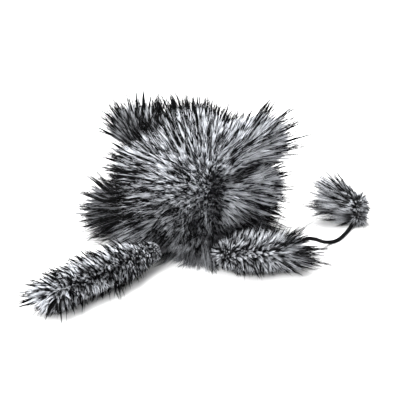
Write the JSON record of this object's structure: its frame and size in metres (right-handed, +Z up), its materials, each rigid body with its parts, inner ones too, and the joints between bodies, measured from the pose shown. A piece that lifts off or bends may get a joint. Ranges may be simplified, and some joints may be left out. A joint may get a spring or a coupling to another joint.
{
  "type": "furry microphone windscreen",
  "caption": "Boxy long-pile fur wind hood on a foam core with a microphone bore, a fur tail strap and a fur drawcord strap whose cord ends in a fur tuft.",
  "frame": {"origin": "middle of the mouth, on the face that the hood stands on", "axes": "+Z up, the front panel faces -Y, the drawcord strap leaves towards +X"},
  "size_m": [0.207, 0.3086, 0.122],
  "materials": {
    "fur": "matte",
    "dark_cloth": "matte",
    "foam": "matte",
    "cord": "satin",
    "elastic": "matte",
    "eyelet_metal": "satin",
    "bead": "matte"
  },
  "bodies": {
    "hood": {"front_panel": "fur", "back_panel": "fur", "left_panel": "fur", "right_panel": "fur", "top_panel": "fur", "base_panel": "dark_cloth", "mesh_lining": "dark_cloth", "foam_core": "foam", "seam_tapes": "dark_cloth", "mouth_collar": "elastic", "draw_channel": "dark_cloth", "mouth_cord": "cord", "front_anchor": "dark_cloth", "side_anchor": "dark_cloth"},
    "front_strap": {"front_strap_fur": "fur", "front_strap_webbing": "dark_cloth"},
    "side_strap": {"side_strap_fur": "fur", "side_strap_webbing": "dark_cloth", "eyelet": "eyelet_metal", "strap_cord": "cord"},
    "cord": {"pull_cord": "cord", "cord_knot": "cord", "tuft_fur": "fur", "tuft_bead": "bead", "tuft_binding": "dark_cloth"}
  },
  "joints": [
    {"name": "front_strap_swing", "type": "hinge", "parent": "hood", "child": "front_strap", "pos_m": [0, -0.066, 0.014], "axis": [0, 0, 1], "range_deg": [-50, 40]},
    {"name": "side_strap_swing", "type": "hinge", "parent": "hood", "child": "side_strap", "pos_m": [0.052, -0.057, 0.016], "axis": [0, 0, 1], "range_deg": [-45, 8]},
    {"name": "cord_swing", "type": "hinge", "parent": "side_strap", "child": "cord", "pos_m": [0.0979, -0.0208, 0.023], "axis": [0, 0, 1], "range_deg": [-50, 10]}
  ]
}
